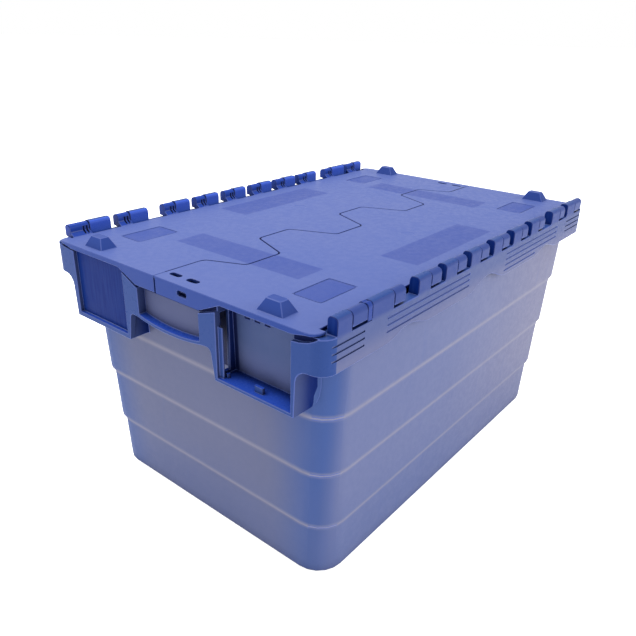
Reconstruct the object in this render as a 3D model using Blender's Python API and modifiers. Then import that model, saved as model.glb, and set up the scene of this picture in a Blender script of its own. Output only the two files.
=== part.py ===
"""Attached-lid stacking crate, 600 x 400 mm: a drafted tub, two interlocking hinged lids,
short hinge pins in the knuckles and one lock clip for each lid.

Units are metres and +Z is up. The origin is the centre of the footprint on the floor. X runs along
the 600 mm side. The crate repeats itself after half a turn about Z: the "near" side is -Y, and each
"far" piece is the near piece turned by 180 degrees.
"""
import math

import bmesh
import bpy
from mathutils import Matrix, Vector

# ---------------------------------------------------------------- driving dimensions
HALF_LENGTH = 0.300           # rim, lids and end faces, along X
HALF_WIDTH = 0.200            # rim and knuckles, along Y
CORNER = 0.016                # plan radius of the rim and lids
RIM_TOP = 0.301
FLANGE = 0.003                # thickness of the rim's top plate and of its skirt
SKIRT_BOTTOM = 0.267

BASE_HALF_X = 0.260           # tub at the floor
BASE_HALF_Y = 0.174
TUB_CORNER = 0.032
DRAFT = 0.032                 # outward slope of each band of the wall
STEPS = (0.062, 0.132, 0.201)  # bottom of each outward step
STEP_OUT = 0.0027
STEP_HEIGHT = 0.005
FOOT_RADIUS = 0.003
WALL = 0.0025
FLOOR = 0.0035
FOOT_WIDTH = 0.012
FOOT_HEIGHT = 0.0012
MOUTH_HALF_X = 0.2745         # clear opening at the rim
MOUTH_HALF_Y = 0.1884

HINGE_Y = -0.1944             # near hinge axis
HINGE_Z = 0.3122
KNUCKLE = 0.0056              # half the knuckle's width, and the lid barrel's radius
KNUCKLE_EDGE = 0.0042         # rounding on top of the tub's knuckles
BARREL_EDGE = 0.0050          # rounding on top of the lids' barrels
KNUCKLE_END = 0.284
WINDOW_FLOOR = 0.3002
TUB_KNUCKLES = ((-0.284, -0.264), (-0.235, -0.201), (-0.159, -0.136), (-0.107, -0.083),
                (-0.053, -0.030), (0.002, 0.024), (0.055, 0.078), (0.107, 0.131),
                (0.175, 0.202), (0.230, 0.2585))
LID_KNUCKLE_ENDS = (-0.242, -0.182, -0.116, -0.063, -0.010, 0.043, 0.096, 0.150, 0.220, 0.284)
SIDE_PLAY = 0.0009            # between a lid knuckle and the tub knuckle that holds its pin
BARREL_DROP = 0.0006          # the lids' barrels stand this much lower than the tub's knuckles

PIN_RADIUS = 0.0020
PIN_SEAT = 0.010              # length of a pin inside the tub
PIN_REACH = 0.0065            # length of a pin inside the lid
BORE_RADIUS = 0.0022
BORE_EXTRA = 0.0004

LID_TOP = 0.3045
LID_PLATE = 0.003
LID_HINGE_EDGE = -0.183
EAR_EDGE = -0.190             # the lid's corners reach past the ends of the hinge
EAR_INNER = 0.2862
EAR_ROUND = 0.011
SEAM_SWING = 0.028            # half the height of the seam's steps
SEAM_SLANT = 0.012            # half the run of one step
SEAM_STEPS = (-0.152, -0.076, 0.0, 0.076, 0.152)
SEAM_END = 0.016              # height at which the seam meets the end edges
SEAM_GAP = 0.001
SEAM_ROUND = 0.008
LIP_DEPTH = 0.0035
LIP_BOTTOM = 0.2985
LIP_END = 0.165
LIP_TIP = 0.179               # the lips taper out towards the corners
FLAP_BOTTOM = 0.286
FLAP_HALF = 0.049
FLAP_SLOPE = 0.077
FLAP_GAP = 0.0012             # each flap's distance from the seam at the end faces

LABEL_X, LABEL_Y = 0.216, 0.1325
PIP_X = 0.282
PIP_Y = 0.132
PIP_BASE = (0.0215, 0.0325)
PIP_CROWN = (0.011, 0.018)
PIP_HEIGHT = 0.012

BOX_BOTTOM = 0.218            # hollow boxes either side of the end handle
BOX_OUTER = 0.167
BOX_INNER = 0.067
BOX_WALL = 0.0035
SIDE_SKIN = 0.0005            # the handle's hollow stops this far short of BOX_INNER
BLOCK_BACK = 0.268
WEB_ROOT = 0.262
HANDLE_EDGE = 0.250
HANDLE_SAG = 0.005
HANDLE_RECESS = 0.0095
HANDLE_SKIN = 0.0025
PANEL_RECESS = 0.0045
PANEL_SKIN = 0.003

CLIP_PLAY = 0.0003
OVER = 0.002                  # how far a cutter runs past the faces it cuts
MICROMETRE = 6                # decimals that outlines are rounded to, so that flush faces meet

BLUE = (0.055, 0.115, 0.420)
PALE_BLUE = (0.165, 0.205, 0.480)
STEEL = (0.62, 0.63, 0.65)
HALF_TURN = Matrix.Rotation(math.pi, 4, "Z")


# ---------------------------------------------------------------- scene and materials
def clear_scene():
    for obj in list(bpy.data.objects):
        bpy.data.objects.remove(obj, do_unlink=True)


def new_collection(name):
    collection = bpy.data.collections.new(name)
    bpy.context.scene.collection.children.link(collection)
    return collection


def plastic(name, colour, roughness, metallic=0.0):
    material = bpy.data.materials.new(name)
    material.use_nodes = True
    shader = material.node_tree.nodes["Principled BSDF"]
    shader.inputs["Base Color"].default_value = (*colour, 1.0)
    shader.inputs["Roughness"].default_value = roughness
    shader.inputs["Metallic"].default_value = metallic
    return material


# ---------------------------------------------------------------- outlines
def fillet(corners, steps=4):
    """Closed outline from (x, y, radius) corners, each rounded with an arc."""
    outline = []
    count = len(corners)
    for index, (x, y, radius) in enumerate(corners):
        here = Vector((x, y))
        before = (Vector(corners[index - 1][:2]) - here).normalized()
        after = (Vector(corners[(index + 1) % count][:2]) - here).normalized()
        if radius <= 0.0:
            outline.append((x, y))
            continue
        half = math.acos(max(-1.0, min(1.0, before.dot(after)))) / 2.0
        centre = here + (before + after).normalized() * (radius / math.sin(half))
        start = here + before * (radius / math.tan(half)) - centre
        end = here + after * (radius / math.tan(half)) - centre
        sweep = start.angle_signed(end)
        for step in range(steps + 1):
            angle = -sweep * step / steps
            point = centre + Matrix.Rotation(angle, 2) @ start
            outline.append((round(point.x, MICROMETRE), round(point.y, MICROMETRE)))
    return outline


def rounded_rectangle(half_x, half_y, radius, steps=5):
    corners = ((-half_x, -half_y), (half_x, -half_y), (half_x, half_y), (-half_x, half_y))
    return fillet([(x, y, radius) for x, y in corners], steps)


def offset_line(points, distance):
    """Open polyline moved sideways by a distance, to its left as it runs."""
    moved = []
    for index, point in enumerate(points):
        here = Vector(point)
        last = here - Vector(points[index - 1]) if index else Vector(points[1]) - here
        onward = Vector(points[index + 1]) - here if index + 1 < len(points) else last
        last, onward = last.normalized(), onward.normalized()
        bisector = (last + onward).normalized()
        normal = Vector((-bisector.y, bisector.x))
        moved.append(tuple(here + normal * (distance / bisector.dot(last))))
    return moved


# ---------------------------------------------------------------- solids
def finish_mesh(bm, name):
    bmesh.ops.recalc_face_normals(bm, faces=bm.faces)
    mesh = bpy.data.meshes.new(name)
    bm.to_mesh(mesh)
    bm.free()
    return mesh


def place(name, mesh, collection):
    obj = bpy.data.objects.new(name, mesh)
    collection.objects.link(obj)
    return obj


def prism_into(bm, outline, low, high, plane="XY"):
    """Extrude a flat outline between two heights of the axis that its plane leaves out."""
    turn = {"XY": lambda a, b, c: (a, b, c), "XZ": lambda a, b, c: (a, c, b),
            "YZ": lambda a, b, c: (c, a, b)}[plane]
    height_axis = {"XY": 2, "XZ": 1, "YZ": 0}[plane]
    face = bm.faces.new([bm.verts.new(turn(a, b, low)) for a, b in outline])
    extruded = bmesh.ops.extrude_face_region(bm, geom=[face])
    for item in extruded["geom"]:
        if isinstance(item, bmesh.types.BMVert):
            item.co[height_axis] = high


def box_into(bm, x_range, y_range, z_range):
    size = [high - low for low, high in (x_range, y_range, z_range)]
    centre = [(high + low) / 2.0 for low, high in (x_range, y_range, z_range)]
    scale = Matrix.Diagonal((*size, 1.0))
    bmesh.ops.create_cube(bm, size=1.0, matrix=Matrix.Translation(centre) @ scale)


def rod_into(bm, x_range, y, z, radius, sides=12):
    """Round rod along X."""
    length = x_range[1] - x_range[0]
    middle = Matrix.Translation(((x_range[0] + x_range[1]) / 2.0, y, z))
    lie = Matrix.Rotation(math.pi / 2.0, 4, "Y")
    bmesh.ops.create_cone(bm, cap_ends=True, segments=sides, radius1=radius, radius2=radius,
                          depth=length, matrix=middle @ lie)


def loft_into(bm, sections):
    """Skin a stack of (height, outline) sections that share one point count."""
    rings = [[bm.verts.new((x, y, height)) for x, y in outline] for height, outline in sections]
    count = len(rings[0])
    for lower, upper in zip(rings, rings[1:]):
        for index in range(count):
            beside = (index + 1) % count
            bm.faces.new((lower[index], lower[beside], upper[beside], upper[index]))
    bm.faces.new(rings[0][::-1])
    bm.faces.new(rings[-1])


def turned_copy_into(bm):
    """Add the same solids again, turned half way round Z."""
    copy = bmesh.ops.duplicate(bm, geom=bm.verts[:] + bm.edges[:] + bm.faces[:])
    verts = [item for item in copy["geom"] if isinstance(item, bmesh.types.BMVert)]
    bmesh.ops.transform(bm, matrix=HALF_TURN, verts=verts)


class Workshop:
    """Makes solids and joins or cuts a target with them through Boolean modifiers."""

    def __init__(self, parts, cutters):
        self.parts = parts
        self.cutters = cutters

    def tool(self, target, operation, name, build, both_sides=False):
        bm = bmesh.new()
        build(bm)
        if both_sides:
            turned_copy_into(bm)
        cutter = place(name, finish_mesh(bm, name), self.cutters)
        cutter.hide_render = True
        cutter.display_type = "WIRE"
        modifier = target.modifiers.new(name, "BOOLEAN")
        modifier.operation = operation
        modifier.solver = "EXACT"
        modifier.object = cutter

    def join(self, target, name, build, both_sides=False):
        self.tool(target, "UNION", name, build, both_sides)

    def cut(self, target, name, build, both_sides=False):
        self.tool(target, "DIFFERENCE", name, build, both_sides)

    def solid(self, name, build, material):
        bm = bmesh.new()
        build(bm)
        mesh = finish_mesh(bm, name)
        mesh.materials.append(material)
        mesh.shade_smooth()
        mesh.set_sharp_from_angle(angle=math.radians(30))
        return place(name, mesh, self.parts)


# ---------------------------------------------------------------- tub
def wall_offset(height):
    """How far the wall stands outside its place at the floor."""
    offset = DRAFT * height
    for step in STEPS:
        rise = min(max((height - step) / STEP_HEIGHT, 0.0), 1.0)
        offset += STEP_OUT * rise
    return offset


def tub_section(height, inset):
    offset = wall_offset(height) - inset
    return rounded_rectangle(BASE_HALF_X + offset, BASE_HALF_Y + offset, TUB_CORNER - inset)


def step_heights():
    heights = []
    for step in STEPS:
        heights += [step, step + STEP_HEIGHT]
    return heights


def outer_shell(bm):
    sections = []
    for index in range(4):
        angle = math.pi / 2.0 * index / 3.0
        height = FOOT_RADIUS * (1.0 - math.cos(angle))
        inset = FOOT_RADIUS * (1.0 - math.sin(angle))
        sections.append((height, tub_section(height, inset)))
    top = RIM_TOP - FLANGE / 2.0
    sections += [(height, tub_section(height, 0.0)) for height in step_heights() + [top]]
    loft_into(bm, sections)


def inner_space(bm):
    sections = [(FLOOR, tub_section(FLOOR, WALL + FOOT_RADIUS)),
                (FLOOR + FOOT_RADIUS, tub_section(FLOOR + FOOT_RADIUS, WALL))]
    sections += [(height, tub_section(height, WALL)) for height in step_heights()]
    mouth = rounded_rectangle(MOUTH_HALF_X, MOUTH_HALF_Y, TUB_CORNER - WALL)
    sections += [(RIM_TOP - 3 * FLANGE, mouth), (RIM_TOP + 4 * OVER, mouth)]
    loft_into(bm, sections)


def rim_slab(bm):
    outline = rounded_rectangle(HALF_LENGTH, HALF_WIDTH, CORNER)
    prism_into(bm, outline, SKIRT_BOTTOM, RIM_TOP)


def rim_hollow(bm):
    outline = rounded_rectangle(HALF_LENGTH - FLANGE, HALF_WIDTH - FLANGE, CORNER - FLANGE)
    prism_into(bm, outline, SKIRT_BOTTOM - OVER, RIM_TOP - FLANGE)


def handle_edge(lift):
    """Sagging lower edge of the handle, from -Y to +Y, raised by a lift."""
    edge = []
    reach = 0.050
    for step in range(-5, 6):
        y = reach * step / 5.0
        edge.append((y, HANDLE_EDGE - HANDLE_SAG * (1.0 - (y / reach) ** 2) + lift, 0.0))
    return edge


def end_block(bm):
    """Face of the -X end: a box, the handle and another box, extruded to the tub wall."""
    skirt = HALF_WIDTH - CORNER
    top = RIM_TOP - FLANGE / 2.0
    right = [(BOX_OUTER, BOX_BOTTOM, 0.0), (BOX_OUTER + 0.002, SKIRT_BOTTOM, 0.013),
             (skirt, SKIRT_BOTTOM, 0.0), (skirt, top, 0.0)]
    left = [(-y, z, radius) for y, z, radius in reversed(right)]
    gap = [(-BOX_INNER, BOX_BOTTOM, 0.0), (-BOX_INNER + 0.005, HANDLE_EDGE + 0.001, 0.006)]
    gap += handle_edge(0.0)
    gap += [(BOX_INNER - 0.005, HANDLE_EDGE + 0.001, 0.006), (BOX_INNER, BOX_BOTTOM, 0.0)]
    outline = fillet(left + gap + right)
    prism_into(bm, outline, -HALF_LENGTH, -BLOCK_BACK, "YZ")


def pocket(bm):
    """Open-fronted pocket to the -Y side of the handle, as deep as the tub wall."""
    low, high = BOX_INNER + BOX_WALL, BOX_OUTER - BOX_WALL
    box_into(bm, (-HALF_LENGTH - OVER, -BLOCK_BACK - OVER / 4), (-high, -low),
             (BOX_BOTTOM + BOX_WALL, RIM_TOP - FLANGE - 0.0001))


def pocket_side_opening(bm):
    """Slot from the pocket into the space behind the handle."""
    box_into(bm, (-0.2930, -0.2826), (-BOX_INNER - BOX_WALL - OVER, -BOX_INNER + OVER),
             (BOX_BOTTOM + 2 * BOX_WALL, 0.288))


def pocket_fin(bm):
    """Upright fin in front of the side opening, and a short round peg at its foot."""
    floor = BOX_BOTTOM + BOX_WALL - 0.001
    wall = -BOX_INNER - BOX_WALL
    box_into(bm, (-0.2962, -0.2946), (wall - 0.0052, wall + 0.001), (floor, 0.2745))
    peg = rounded_rectangle(0.0019, 0.0019, 0.0018, 3)
    prism_into(bm, [(x - 0.2912, y - 0.0768) for x, y in peg], floor, floor + 0.0055)


def panel_front(bm):
    """Shallow panel to the +Y side of the handle."""
    low, high = BOX_INNER + 0.004, BOX_OUTER - 0.006
    box_into(bm, (-HALF_LENGTH - OVER, -HALF_LENGTH + PANEL_RECESS), (low, high),
             (BOX_BOTTOM + 0.0055, RIM_TOP - FLANGE - 0.0001))


def panel_back(bm):
    low, high = BOX_INNER + BOX_WALL, BOX_OUTER - BOX_WALL
    front = -HALF_LENGTH + PANEL_RECESS + PANEL_SKIN
    box_into(bm, (front, -BLOCK_BACK - OVER / 4), (low, high),
             (BOX_BOTTOM - OVER, RIM_TOP - 2 * FLANGE))


def handle_front(bm):
    """Recess in the handle's face, with a sagging lower flange."""
    half = 0.047
    inside = [(y, z, radius) for y, z, radius in handle_edge(0.0035) if abs(y) < half]
    sill = HANDLE_EDGE + 0.0035
    corners = [(-half, RIM_TOP - 2 * FLANGE, 0.0), (-half, sill, 0.0)] + inside
    corners += [(half, sill, 0.0), (half, RIM_TOP - 2 * FLANGE, 0.0)]
    prism_into(bm, fillet(corners), -HALF_LENGTH - OVER, -HALF_LENGTH + HANDLE_RECESS, "YZ")


def handle_gap(bm):
    """Dark slot above the handle's plate, behind the lids' flaps."""
    half = 0.0465
    box_into(bm, (-HALF_LENGTH + LIP_DEPTH, -0.286), (-half, half), (0.2795, 0.2915))


def handle_back(bm):
    """Room for the fingers behind the handle."""
    front = -HALF_LENGTH + HANDLE_RECESS + HANDLE_SKIN
    half = BOX_INNER - SIDE_SKIN
    box_into(bm, (front, -BLOCK_BACK - OVER / 4), (-half, half),
             (BOX_BOTTOM - OVER, RIM_TOP - 2 * FLANGE))


def handle_posts(bm):
    """Hollows in the back of the two uprights of the handle."""
    front = -HALF_LENGTH + LIP_DEPTH + 0.003
    back = -HALF_LENGTH + HANDLE_RECESS + HANDLE_SKIN + OVER / 4
    low, high = 0.0495, BOX_INNER - SIDE_SKIN
    for y_range in ((-high, -low), (low, high)):
        box_into(bm, (front, back), y_range, (BOX_BOTTOM - OVER, RIM_TOP - 2 * FLANGE))


def lip_recess(bm):
    """Rebate that the lids' end lips and flaps drop into. It dips beside the pocket."""
    below_flap, below_lip = FLAP_BOTTOM - 0.0028, LIP_BOTTOM - 0.0015
    panel_side = [(FLAP_HALF, below_flap), (FLAP_SLOPE, below_lip), (LIP_END, below_lip),
                  (0.188, RIM_TOP - 0.0015), (0.191, RIM_TOP + OVER)]
    pocket_side = [(-0.193, RIM_TOP + OVER), (-0.190, RIM_TOP - 0.0012), (-0.182, RIM_TOP - 0.005),
                   (-0.172, RIM_TOP - 0.0078), (-LIP_END, RIM_TOP - 0.0085),
                   (-FLAP_SLOPE, RIM_TOP - 0.0085), (-FLAP_HALF, below_flap)]
    depth = LIP_DEPTH + CLIP_PLAY
    outline = pocket_side + panel_side
    prism_into(bm, outline, -HALF_LENGTH - OVER, -HALF_LENGTH + depth, "YZ")


def pocket_slots(bm):
    """Three small blind slots high in the pocket's back wall."""
    back = BASE_HALF_X + wall_offset(0.285)
    for y in (-0.0895, -0.1025, -0.1155):
        box_into(bm, (-back - OVER, -back + 0.0016), (y - 0.0036, y + 0.0036), (0.2822, 0.2915))


def pocket_boss(bm):
    """Small tab that stands on the pocket's floor."""
    low = BOX_BOTTOM + BOX_WALL - 0.001
    outline = rounded_rectangle(0.0018, 0.0055, 0.0012, 3)
    outline = [(x - 0.292, y - 0.119) for x, y in outline]
    prism_into(bm, outline, low, low + 0.0075)


def corner_webs(bm):
    """Hollow-curved webs that blend the outer faces of the boxes into the tub's corners."""
    inside = BOX_OUTER - 0.002
    for side in (-1.0, 1.0):
        sections = []
        for height, radius in ((BOX_BOTTOM + 0.0005, 0.001), (0.223, 0.006), (0.230, 0.011),
                               (0.240, 0.015), (SKIRT_BOTTOM + OVER, 0.016)):
            corner_x = BASE_HALF_X + wall_offset(height) - TUB_CORNER
            corner_y = BASE_HALF_Y + wall_offset(height) - TUB_CORNER
            rise = BOX_OUTER + radius - corner_y
            run = math.sqrt((TUB_CORNER + radius) ** 2 - rise ** 2)
            front, sweep = -corner_x - run, math.atan2(run, rise)
            outline = [(-WEB_ROOT, side * inside), (front, side * inside)]
            for step in range(6):
                turn = sweep * step / 5.0
                outline.append((front + radius * math.sin(turn),
                                side * (BOX_OUTER + radius * (1.0 - math.cos(turn)))))
            outline.append((-WEB_ROOT, outline[-1][1]))
            sections.append((height, outline[::int(-side)]))
        loft_into(bm, sections)


def knuckle_profile(edge):
    top = HINGE_Z + KNUCKLE
    foot = RIM_TOP - FLANGE / 2.0
    outer, inner = HINGE_Y - KNUCKLE, HINGE_Y + KNUCKLE
    return fillet([(outer, foot, 0.0), (inner, foot, 0.0), (inner, top, edge), (outer, top, edge)])


def hinge_bar(bm):
    prism_into(bm, knuckle_profile(KNUCKLE_EDGE), -KNUCKLE_END, KNUCKLE_END, "YZ")


def hinge_windows(bm):
    """Everything between and beyond the tub's knuckles."""
    beyond = KNUCKLE_END + OVER
    for (_, low), (high, _) in zip(TUB_KNUCKLES, TUB_KNUCKLES[1:] + ((beyond, beyond),)):
        box_into(bm, (low, high), (HINGE_Y - 2 * KNUCKLE, HINGE_Y + KNUCKLE + 0.0018),
                 (WINDOW_FLOOR, HINGE_Z + 2 * KNUCKLE))


def hinge_bores(bm):
    for _, face in TUB_KNUCKLES:
        rod_into(bm, (face - PIN_SEAT - BORE_EXTRA, face + OVER), HINGE_Y, HINGE_Z, BORE_RADIUS)


def clip_slot(bm):
    x = clip_middle()
    box_into(bm, (x - 0.0024, x + 0.0024), (HINGE_Y - 0.0014, HINGE_Y + 0.0014),
             (RIM_TOP - 2 * FLANGE, RIM_TOP + OVER))


def skirt_waves(bm):
    """Shallow waves in the lower edge of the long skirt: (middle, half width, height)."""
    for middle, half, height in ((-0.172, 0.040, 0.0085), (-0.005, 0.050, 0.013),
                                 (0.166, 0.040, 0.008)):
        outline = [(middle + half, SKIRT_BOTTOM - OVER), (middle - half, SKIRT_BOTTOM - OVER)]
        for step in range(11):
            turn = math.pi * (step / 5.0 - 1.0)
            rise = height * (1.0 + math.cos(turn)) / 2.0
            outline.append((middle + half * turn / math.pi, SKIRT_BOTTOM + rise - 0.0001))
        prism_into(bm, outline, -HALF_WIDTH - OVER, -HALF_WIDTH + 0.007, "XZ")


def skirt_grooves(bm):
    """Horizontal grooves in the long skirt, in four stretches."""
    stretches = ((-0.296, -0.245), (-0.210, -0.052), (0.040, 0.200), (0.232, 0.296))
    rows = [(stretch, z) for stretch in stretches for z in (0.2936, 0.2868, 0.2800)]
    rows.append(((0.038, 0.130), 0.2735))
    for stretch, z in rows:
        box_into(bm, stretch, (-HALF_WIDTH - OVER, -HALF_WIDTH + 0.0011), (z - 0.0009, z + 0.0009))


def foot_recess(bm):
    outline = rounded_rectangle(BASE_HALF_X - FOOT_WIDTH, BASE_HALF_Y - FOOT_WIDTH,
                                TUB_CORNER - FOOT_WIDTH)
    prism_into(bm, outline, -OVER, FOOT_HEIGHT)


def make_tub(shop, material):
    tub = shop.solid("tub", rim_slab, material)
    shop.cut(tub, "cut_rim_hollow", rim_hollow)
    shop.join(tub, "add_end_blocks", end_block, both_sides=True)
    for build in (pocket, pocket_side_opening, panel_front, panel_back, handle_front, handle_back,
                  handle_gap, handle_posts, lip_recess):
        shop.cut(tub, "cut_" + build.__name__, build, both_sides=True)
    shop.join(tub, "add_outer_shell", outer_shell)
    shop.join(tub, "add_pocket_boss", pocket_boss, both_sides=True)
    shop.join(tub, "add_pocket_fin", pocket_fin, both_sides=True)
    shop.join(tub, "add_corner_webs", corner_webs, both_sides=True)
    shop.join(tub, "add_hinge_bars", hinge_bar, both_sides=True)
    for build in (hinge_windows, hinge_bores, clip_slot, skirt_waves, skirt_grooves,
                  pocket_slots):
        shop.cut(tub, "cut_" + build.__name__, build, both_sides=True)
    shop.cut(tub, "cut_inner_space", inner_space)
    shop.cut(tub, "cut_foot_recess", foot_recess)
    return tub


# ---------------------------------------------------------------- lids
def seam_line():
    """Centre line of the seam between the lids, from -X to +X."""
    slope_end = SEAM_SLANT * SEAM_END / SEAM_SWING
    last = SEAM_STEPS[-1] + (SEAM_STEPS[-1] - SEAM_STEPS[-2])
    points = [(-HALF_LENGTH, SEAM_END), (-last - slope_end, SEAM_END),
              (-last + SEAM_SLANT, -SEAM_SWING)]
    rising = 1.0
    for step in SEAM_STEPS:
        points.append((step - SEAM_SLANT, -rising * SEAM_SWING))
        points.append((step + SEAM_SLANT, rising * SEAM_SWING))
        rising = -rising
    points += [(last - SEAM_SLANT, SEAM_SWING), (last + slope_end, -SEAM_END),
               (HALF_LENGTH, -SEAM_END)]
    return points


def lid_outline():
    seam = offset_line(seam_line(), -SEAM_GAP / 2.0)
    corners = [(-HALF_LENGTH, EAR_EDGE, EAR_ROUND), (-EAR_INNER, EAR_EDGE, 0.0),
               (-EAR_INNER, LID_HINGE_EDGE, 0.0), (EAR_INNER, LID_HINGE_EDGE, 0.0),
               (EAR_INNER, EAR_EDGE, 0.0), (HALF_LENGTH, EAR_EDGE, EAR_ROUND)]
    corners.append((*seam[-1], 0.0))
    corners += [(x, y, SEAM_ROUND) for x, y in reversed(seam[1:-1])]
    corners.append((*seam[0], 0.0))
    return fillet(corners)


def lid_plate(bm):
    prism_into(bm, lid_outline(), LID_TOP - LID_PLATE, LID_TOP)


def lip_outline(seam_y):
    """Lip and flap on one end of a lid, from the hinge side to the seam."""
    top = LID_TOP - LID_PLATE / 2.0
    return [(-LIP_TIP, top), (-LIP_TIP, LID_TOP - LID_PLATE), (-LIP_END, LIP_BOTTOM),
            (-FLAP_SLOPE, LIP_BOTTOM), (-FLAP_HALF, FLAP_BOTTOM),
            (seam_y - FLAP_GAP, FLAP_BOTTOM), (seam_y - FLAP_GAP, top)]


def lid_lips(bm):
    prism_into(bm, lip_outline(SEAM_END), -HALF_LENGTH, -HALF_LENGTH + LIP_DEPTH, "YZ")
    prism_into(bm, lip_outline(-SEAM_END), HALF_LENGTH - LIP_DEPTH, HALF_LENGTH, "YZ")


def lid_knuckle_ranges():
    return [(face + SIDE_PLAY, end) for (_, face), end in zip(TUB_KNUCKLES, LID_KNUCKLE_ENDS)]


def lid_knuckles(bm):
    """Barrels with a gusset down to the plate's edge."""
    underside = LID_TOP - LID_PLATE
    outer, inner = HINGE_Y - KNUCKLE, HINGE_Y + KNUCKLE
    top = HINGE_Z + KNUCKLE - BARREL_DROP
    root = LID_HINGE_EDGE + OVER
    profile = fillet([(outer, LID_TOP - LID_PLATE / 2.0, 0.0), (inner, underside, 0.0),
                      (root, underside, 0.0), (root, LID_TOP, 0.0), (LID_HINGE_EDGE, LID_TOP, 0.0),
                      (inner, HINGE_Z - 0.0035, 0.0), (inner, top, BARREL_EDGE),
                      (outer, top, BARREL_EDGE)])
    for low, high in lid_knuckle_ranges():
        prism_into(bm, profile, low, high, "YZ")


def lid_knuckle_slots(bm):
    """Two narrow slots beside each barrel's pin end, on the inner side."""
    for low, _ in lid_knuckle_ranges():
        for start in (0.0022, 0.0064):
            box_into(bm, (low + start, low + start + 0.0022),
                     (HINGE_Y + 0.0038, LID_HINGE_EDGE + OVER), (LID_TOP + 0.0004, HINGE_Z + 0.001))


def lid_bores(bm):
    for low, _ in lid_knuckle_ranges():
        rod_into(bm, (low - OVER, low + PIN_REACH), HINGE_Y, HINGE_Z, BORE_RADIUS)


def pips(bm):
    """Two blunt pyramids that locate a crate stacked on top."""
    for x in (-PIP_X, PIP_X):
        sections = []
        for height, (size_x, size_y) in ((LID_TOP - LID_PLATE / 2.0, PIP_BASE),
                                         (LID_TOP, PIP_BASE),
                                         (LID_TOP + PIP_HEIGHT, PIP_CROWN)):
            outline = rounded_rectangle(size_x / 2.0, size_y / 2.0, 0.002, 2)
            sections.append((height, [(x + a, b - PIP_Y) for a, b in outline]))
        loft_into(bm, sections)


def rib_grid(bm):
    """Slab under the plate, which rib_cells opens into a grid."""
    box_into(bm, (-0.263, 0.263), (-0.177, -0.035), (LID_TOP - LID_PLATE - 0.004,
                                                     LID_TOP - LID_PLATE / 2.0))


def rib_cells(bm):
    rib = 0.002
    pitch_x, pitch_y = (0.526 - rib) / 8.0, (0.142 - rib) / 2.0
    for column in range(8):
        for row in range(2):
            x, y = -0.263 + rib + column * pitch_x, -0.177 + rib + row * pitch_y
            box_into(bm, (x, x + pitch_x - rib), (y, y + pitch_y - rib),
                     (LID_TOP - LID_PLATE - 0.006, LID_TOP - LID_PLATE))


def label_areas_into(bm, inset, low, high):
    """Rounded areas near the two corners, from one height to another."""
    for x in (-LABEL_X, LABEL_X):
        outline = rounded_rectangle(0.028 - inset, 0.0175 - inset, 0.004 - inset, 3)
        prism_into(bm, [(a + x, b - LABEL_Y) for a, b in outline], low, high)


def label_grooves(bm):
    label_areas_into(bm, 0.0, LID_TOP - 0.0009, LID_TOP + OVER)


def label_panels(bm):
    """Blank panels inside the grooves, a hair below the lid's top."""
    label_areas_into(bm, 0.0012, LID_TOP - LID_PLATE / 2.0, LID_TOP - 0.0003)


def seal_slots(bm):
    """Slots for a seal: two down through the plate and one through the flap."""
    for y, half in ((0.0015, 0.0030), (-0.0240, 0.0034)):
        outline = rounded_rectangle(half, 0.0080, half - 0.0004, 3)
        outline = [(a - 0.284, b + y) for a, b in outline]
        prism_into(bm, outline, LID_TOP - LID_PLATE - OVER, LID_TOP + OVER)
    outline = rounded_rectangle(0.0070, 0.0029, 0.0024, 3)
    outline = [(a - 0.025, b + 0.2955) for a, b in outline]
    prism_into(bm, outline, -HALF_LENGTH - OVER, -HALF_LENGTH + LIP_DEPTH + OVER, "YZ")


def gate_dish(bm):
    """Shallow round dish where the plastic entered the mould."""
    radius, depth = 0.0085, 0.0003
    bmesh.ops.create_cone(bm, cap_ends=True, segments=24, radius1=radius, radius2=radius + OVER,
                          depth=OVER, matrix=Matrix.Translation((-0.004, -0.090, LID_TOP
                                                                 + OVER / 2.0 - depth)))


def make_near_lid(shop, material):
    lid = shop.solid("lid_near", lid_plate, material)
    shop.join(lid, "add_rib_grid", rib_grid)
    shop.cut(lid, "cut_rib_cells", rib_cells)
    for build in (lid_lips, lid_knuckles, pips):
        shop.join(lid, "add_" + build.__name__, build)
    for build in (lid_knuckle_slots, lid_bores, label_grooves, seal_slots, gate_dish):
        shop.cut(lid, "cut_" + build.__name__, build)
    shop.join(lid, "add_label_panels", label_panels)
    return lid


# ---------------------------------------------------------------- hinge pins and lock clips
def make_pins(shop, material):
    """One short pin for each lid knuckle, shared between the tub and the lid."""
    pins = []
    for index, (_, face) in enumerate(TUB_KNUCKLES, start=1):
        span = (face - PIN_SEAT, face + SIDE_PLAY + PIN_REACH - BORE_EXTRA)

        def pin(bm, span=span):
            rod_into(bm, span, HINGE_Y, HINGE_Z, PIN_RADIUS)

        obj = shop.solid(f"hinge_pin_near_{index}", pin, material)
        bevel = obj.modifiers.new("pin_chamfer", "BEVEL")
        bevel.width = 0.0004
        bevel.segments = 1
        bevel.limit_method = "ANGLE"
        bevel.angle_limit = math.radians(50)
        pins.append(obj)
    return pins


def clip_range():
    """The clip fills the gap between the first lid knuckle and the next tub knuckle."""
    return LID_KNUCKLE_ENDS[0] + CLIP_PLAY, TUB_KNUCKLES[1][0] - CLIP_PLAY


def clip_middle():
    low, high = clip_range()
    return (low + high) / 2.0


def clip_head(bm):
    top = HINGE_Z + KNUCKLE
    outer, inner = HINGE_Y - KNUCKLE, HINGE_Y + KNUCKLE
    foot = WINDOW_FLOOR + CLIP_PLAY
    profile = fillet([(outer, foot, 0.0), (inner, foot, 0.0), (inner, top, KNUCKLE_EDGE),
                      (outer, top, KNUCKLE_EDGE)])
    low, high = clip_range()
    prism_into(bm, profile, low, high, "YZ")


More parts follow.
